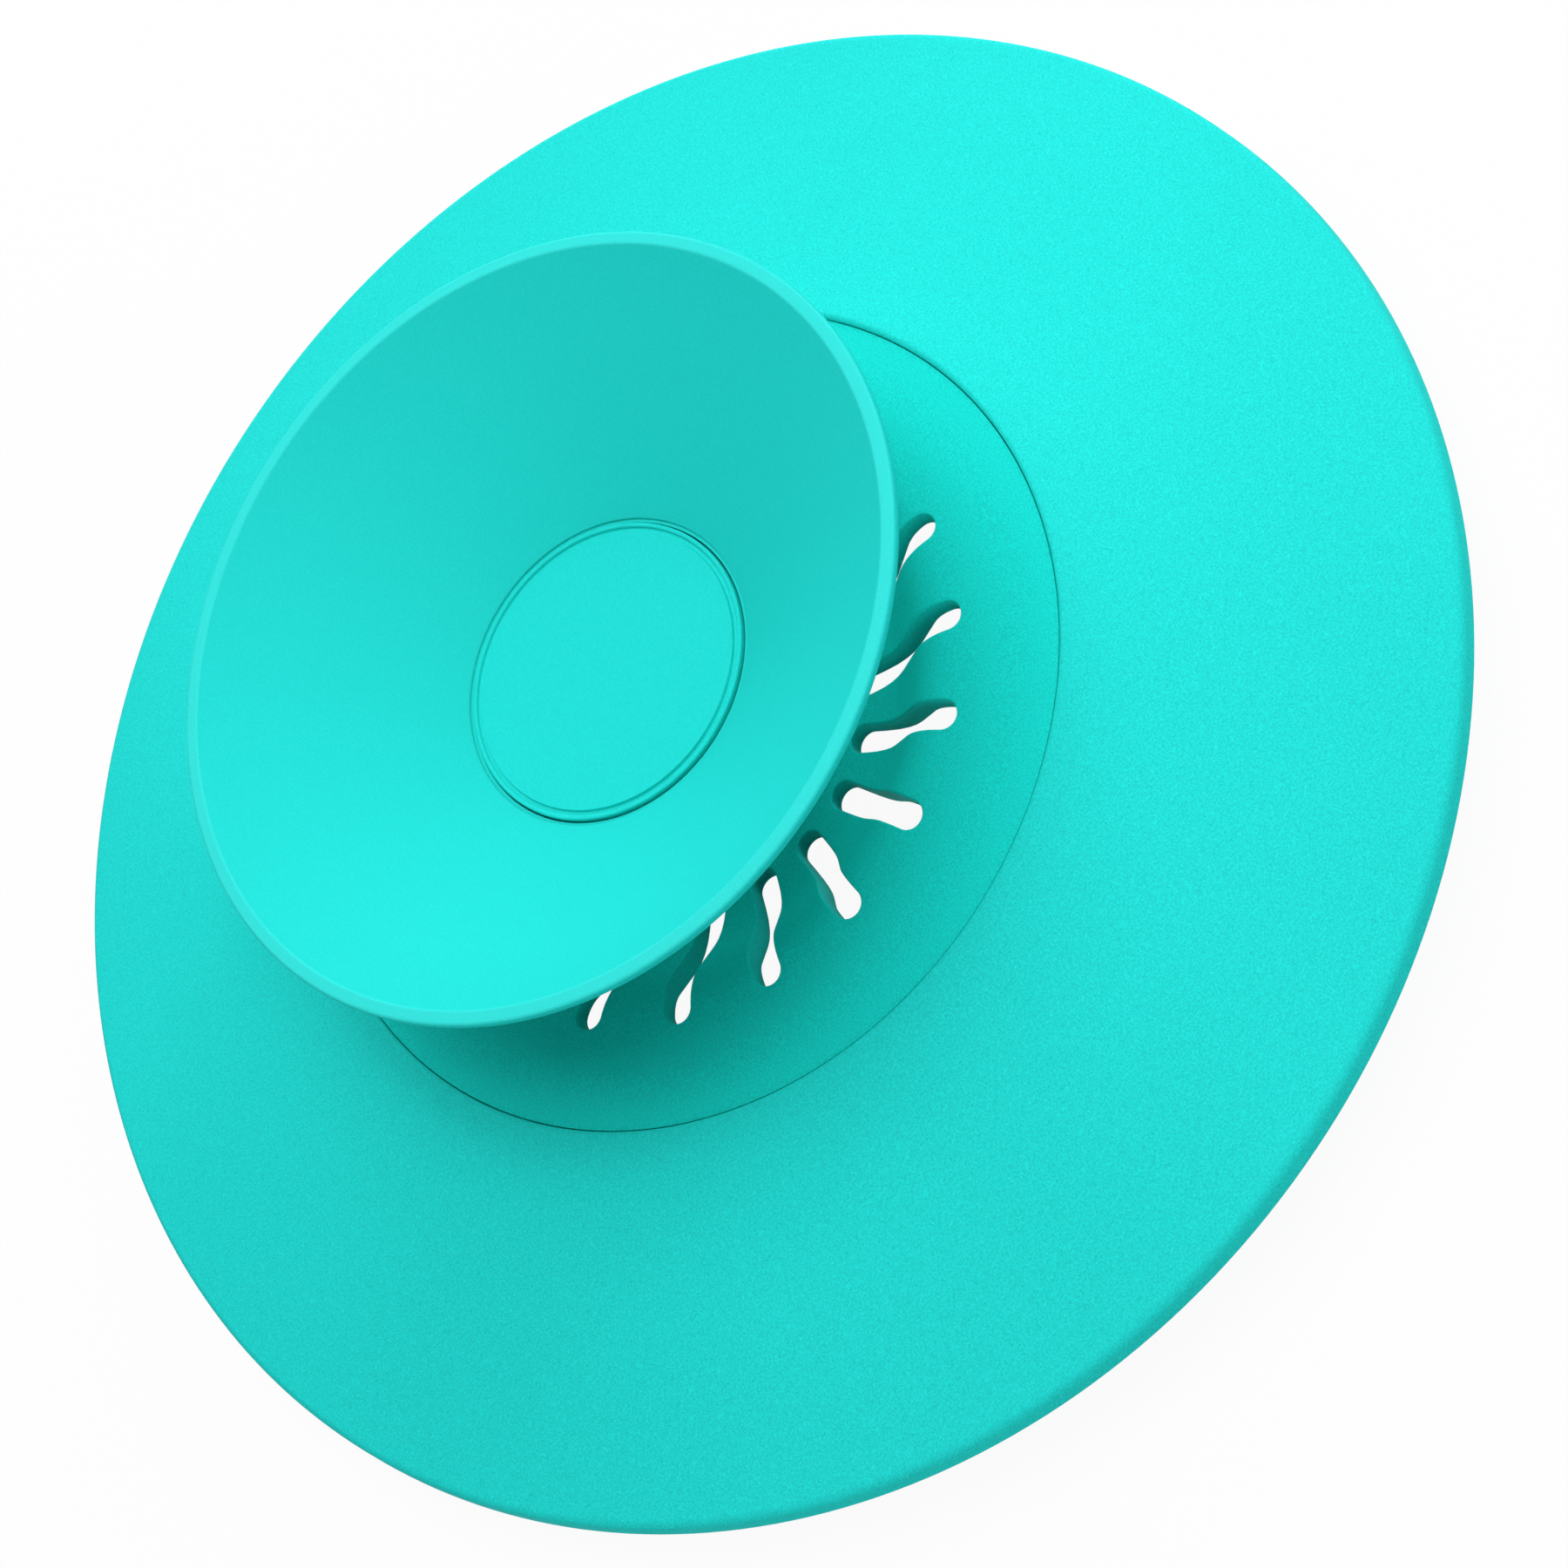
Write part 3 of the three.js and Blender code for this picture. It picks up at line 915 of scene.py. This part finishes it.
def white_floor(stage):
    """A pale floor, white where it is seen but for a faint shadow near the cover, and clear from below."""
    material = bpy.data.materials.new("white_floor")
    material.use_nodes = True
    tree = material.node_tree
    tree.nodes.remove(tree.nodes["Principled BSDF"])
    paper = add_node(tree, "ShaderNodeBsdfDiffuse", Color=PAPER)
    glow = add_node(tree, "ShaderNodeEmission", Color=WHITE, Strength=1.0)
    place = tree.nodes.new("ShaderNodeTexCoord")
    away = tree.nodes.new("ShaderNodeVectorMath")
    away.operation = "LENGTH"
    tree.links.new(place.outputs["Object"], away.inputs[0])
    edge = DISC_HIGH.x
    white = add_node(tree, "ShaderNodeMapRange", From_Min=edge, From_Max=edge + stage.floor_fade,
                     To_Min=stage.floor_white, To_Max=1.0)
    tree.links.new(away.outputs["Value"], white.inputs["Value"])
    lift = math_node(tree, "MULTIPLY", seen_rays(tree), white.outputs["Result"])
    above = mixed_shader(tree, lift, paper.outputs[0], glow.outputs[0])
    side = tree.nodes.new("ShaderNodeNewGeometry")
    path = tree.nodes.new("ShaderNodeLightPath")
    below = math_node(tree, "MULTIPLY", side.outputs["Backfacing"], path.outputs["Is Camera Ray"])
    clear = tree.nodes.new("ShaderNodeBsdfTransparent")
    either = mixed_shader(tree, below, above, clear.outputs[0])
    tree.links.new(either, tree.nodes["Material Output"].inputs["Surface"])
    return material


def studio_world(ambient):
    """Even light of a given strength, white where it is seen."""
    world = bpy.data.worlds.new("studio")
    bpy.context.scene.world = world
    world.use_nodes = True
    tree = world.node_tree
    even = tree.nodes["Background"]
    even.inputs["Color"].default_value = WHITE
    even.inputs["Strength"].default_value = ambient
    seen = add_node(tree, "ShaderNodeBackground", Color=WHITE, Strength=1.0)
    either = mixed_shader(tree, seen_rays(tree), even.outputs[0], seen.outputs[0])
    tree.links.new(either, tree.nodes["World Output"].inputs["Surface"])


def soft_lamp(name, power, azimuth, elevation):
    """A square soft lamp that faces the cover. The azimuth turns from +X towards +Y, in degrees."""
    stage = bpy.context.scene.drain_cover.stage
    target = Vector((0, 0, LAMP_TARGET))
    turn, rise = math.radians(azimuth), math.radians(elevation)
    level = math.cos(rise)
    toward = Vector((math.cos(turn) * level, math.sin(turn) * level, math.sin(rise)))
    light = bpy.data.lights.new(name, "AREA")
    light.energy = power
    light.size = stage.lamp_size
    holder = bpy.data.objects.new(name, light)
    holder.location = target + toward * stage.lamp_distance
    holder.rotation_euler = (-toward).to_track_quat("-Z", "Y").to_euler()
    bpy.context.scene.collection.objects.link(holder)


def studio_lamps():
    """Soft lamps all round, strongest low between +X and +Y and high between +X and -Y."""
    soft_lamp("key_low", power=1.3, azimuth=0, elevation=20)
    soft_lamp("key_middle", power=0.55, azimuth=0, elevation=45)
    soft_lamp("side_low", power=1.4, azimuth=45, elevation=20)
    soft_lamp("side_high", power=0.9, azimuth=45, elevation=68)
    soft_lamp("back_low", power=0.5, azimuth=90, elevation=20)
    soft_lamp("back_high", power=0.75, azimuth=90, elevation=68)
    soft_lamp("fill_low", power=1.0, azimuth=225, elevation=20)
    soft_lamp("front_low", power=0.3, azimuth=275, elevation=25)
    soft_lamp("front_high", power=1.45, azimuth=315, elevation=68)
    soft_lamp("top", power=0.9, azimuth=0, elevation=88)


class DRAIN_OT_stage(Operator):
    """Make the floor, the light and the camera"""

    bl_idname = "drain.stage"
    bl_label = "Stage"

    def execute(self, context):
        settings, at = settings_and_levels()
        stage = settings.stage
        self.floor(stage)
        studio_world(stage.ambient)
        edge_top = at.cover_top(at.rim_radius - at.edge_inset)
        middle = Vector((0, 0, edge_top - stage.aim_drop))
        self.camera(stage, middle)
        studio_lamps()
        context.scene.view_settings.view_transform = "Standard"
        return {"FINISHED"}

    def floor(self, stage):
        """The floor that the part stands on."""
        half = FLOOR_SPREAD * DISC_HIGH.x
        points = [(-half, -half, 0), (half, -half, 0), (half, half, 0), (-half, half, 0)]
        mesh = bpy.data.meshes.new("floor")
        mesh.from_pydata(points, [], [(0, 1, 2, 3)])
        floor = bpy.data.objects.new("floor", mesh)
        floor.location.z = CAD_LOW.z - SUPPORT
        mesh.materials.append(white_floor(stage))
        bpy.context.scene.collection.objects.link(floor)

    def camera(self, stage, middle):
        """The camera, from its elevation, roll and distance."""
        up, level = math.sin(stage.elevation), math.cos(stage.elevation)
        upright = Matrix(((1, 0, 0), (0, up, -level), (0, level, up)))
        view = upright @ Matrix.Rotation(stage.roll, 3, "Z")
        offset = Vector((stage.offset_x, stage.offset_y, -stage.distance))
        data = bpy.data.cameras.new("camera")
        data.sensor_width = SENSOR_WIDTH
        data.lens = stage.lens
        camera = bpy.data.objects.new("camera", data)
        camera.matrix_world = Matrix.Translation(middle - view @ offset) @ view.to_4x4()
        bpy.context.scene.collection.objects.link(camera)
        bpy.context.scene.camera = camera


OPERATORS = (
    DRAIN_OT_cover_disc,
    DRAIN_OT_strainer,
    DRAIN_OT_seal_cup,
    DRAIN_OT_plug,
    DRAIN_OT_press_button,
    DRAIN_OT_stage,
)


class DRAIN_PT_panel(Panel):
    """Lists the pieces of the drain cover."""

    bl_idname = "DRAIN_PT_panel"
    bl_label = "Drain cover"
    bl_space_type = "VIEW_3D"
    bl_region_type = "UI"
    bl_category = "Drain cover"

    def draw(self, context):
        for operator in OPERATORS:
            self.layout.operator(operator.bl_idname)


GROUPS = (CoverSizes, StrainerSizes, SlotSizes, CupSizes, PlugSizes, Finish, StageSettings, DrainCover)
CLASSES = GROUPS + OPERATORS + (DRAIN_PT_panel,)


def register():
    for cls in CLASSES:
        bpy.utils.register_class(cls)
    bpy.types.Scene.drain_cover = PointerProperty(type=DrainCover)


def unregister():
    del bpy.types.Scene.drain_cover
    for cls in reversed(CLASSES):
        bpy.utils.unregister_class(cls)


def main():
    register()
    bpy.ops.drain.cover_disc()
    bpy.ops.drain.strainer()
    bpy.ops.drain.seal_cup()
    bpy.ops.drain.plug()
    bpy.ops.drain.press_button()
    bpy.ops.drain.stage()


if __name__ == "__main__":
    main()
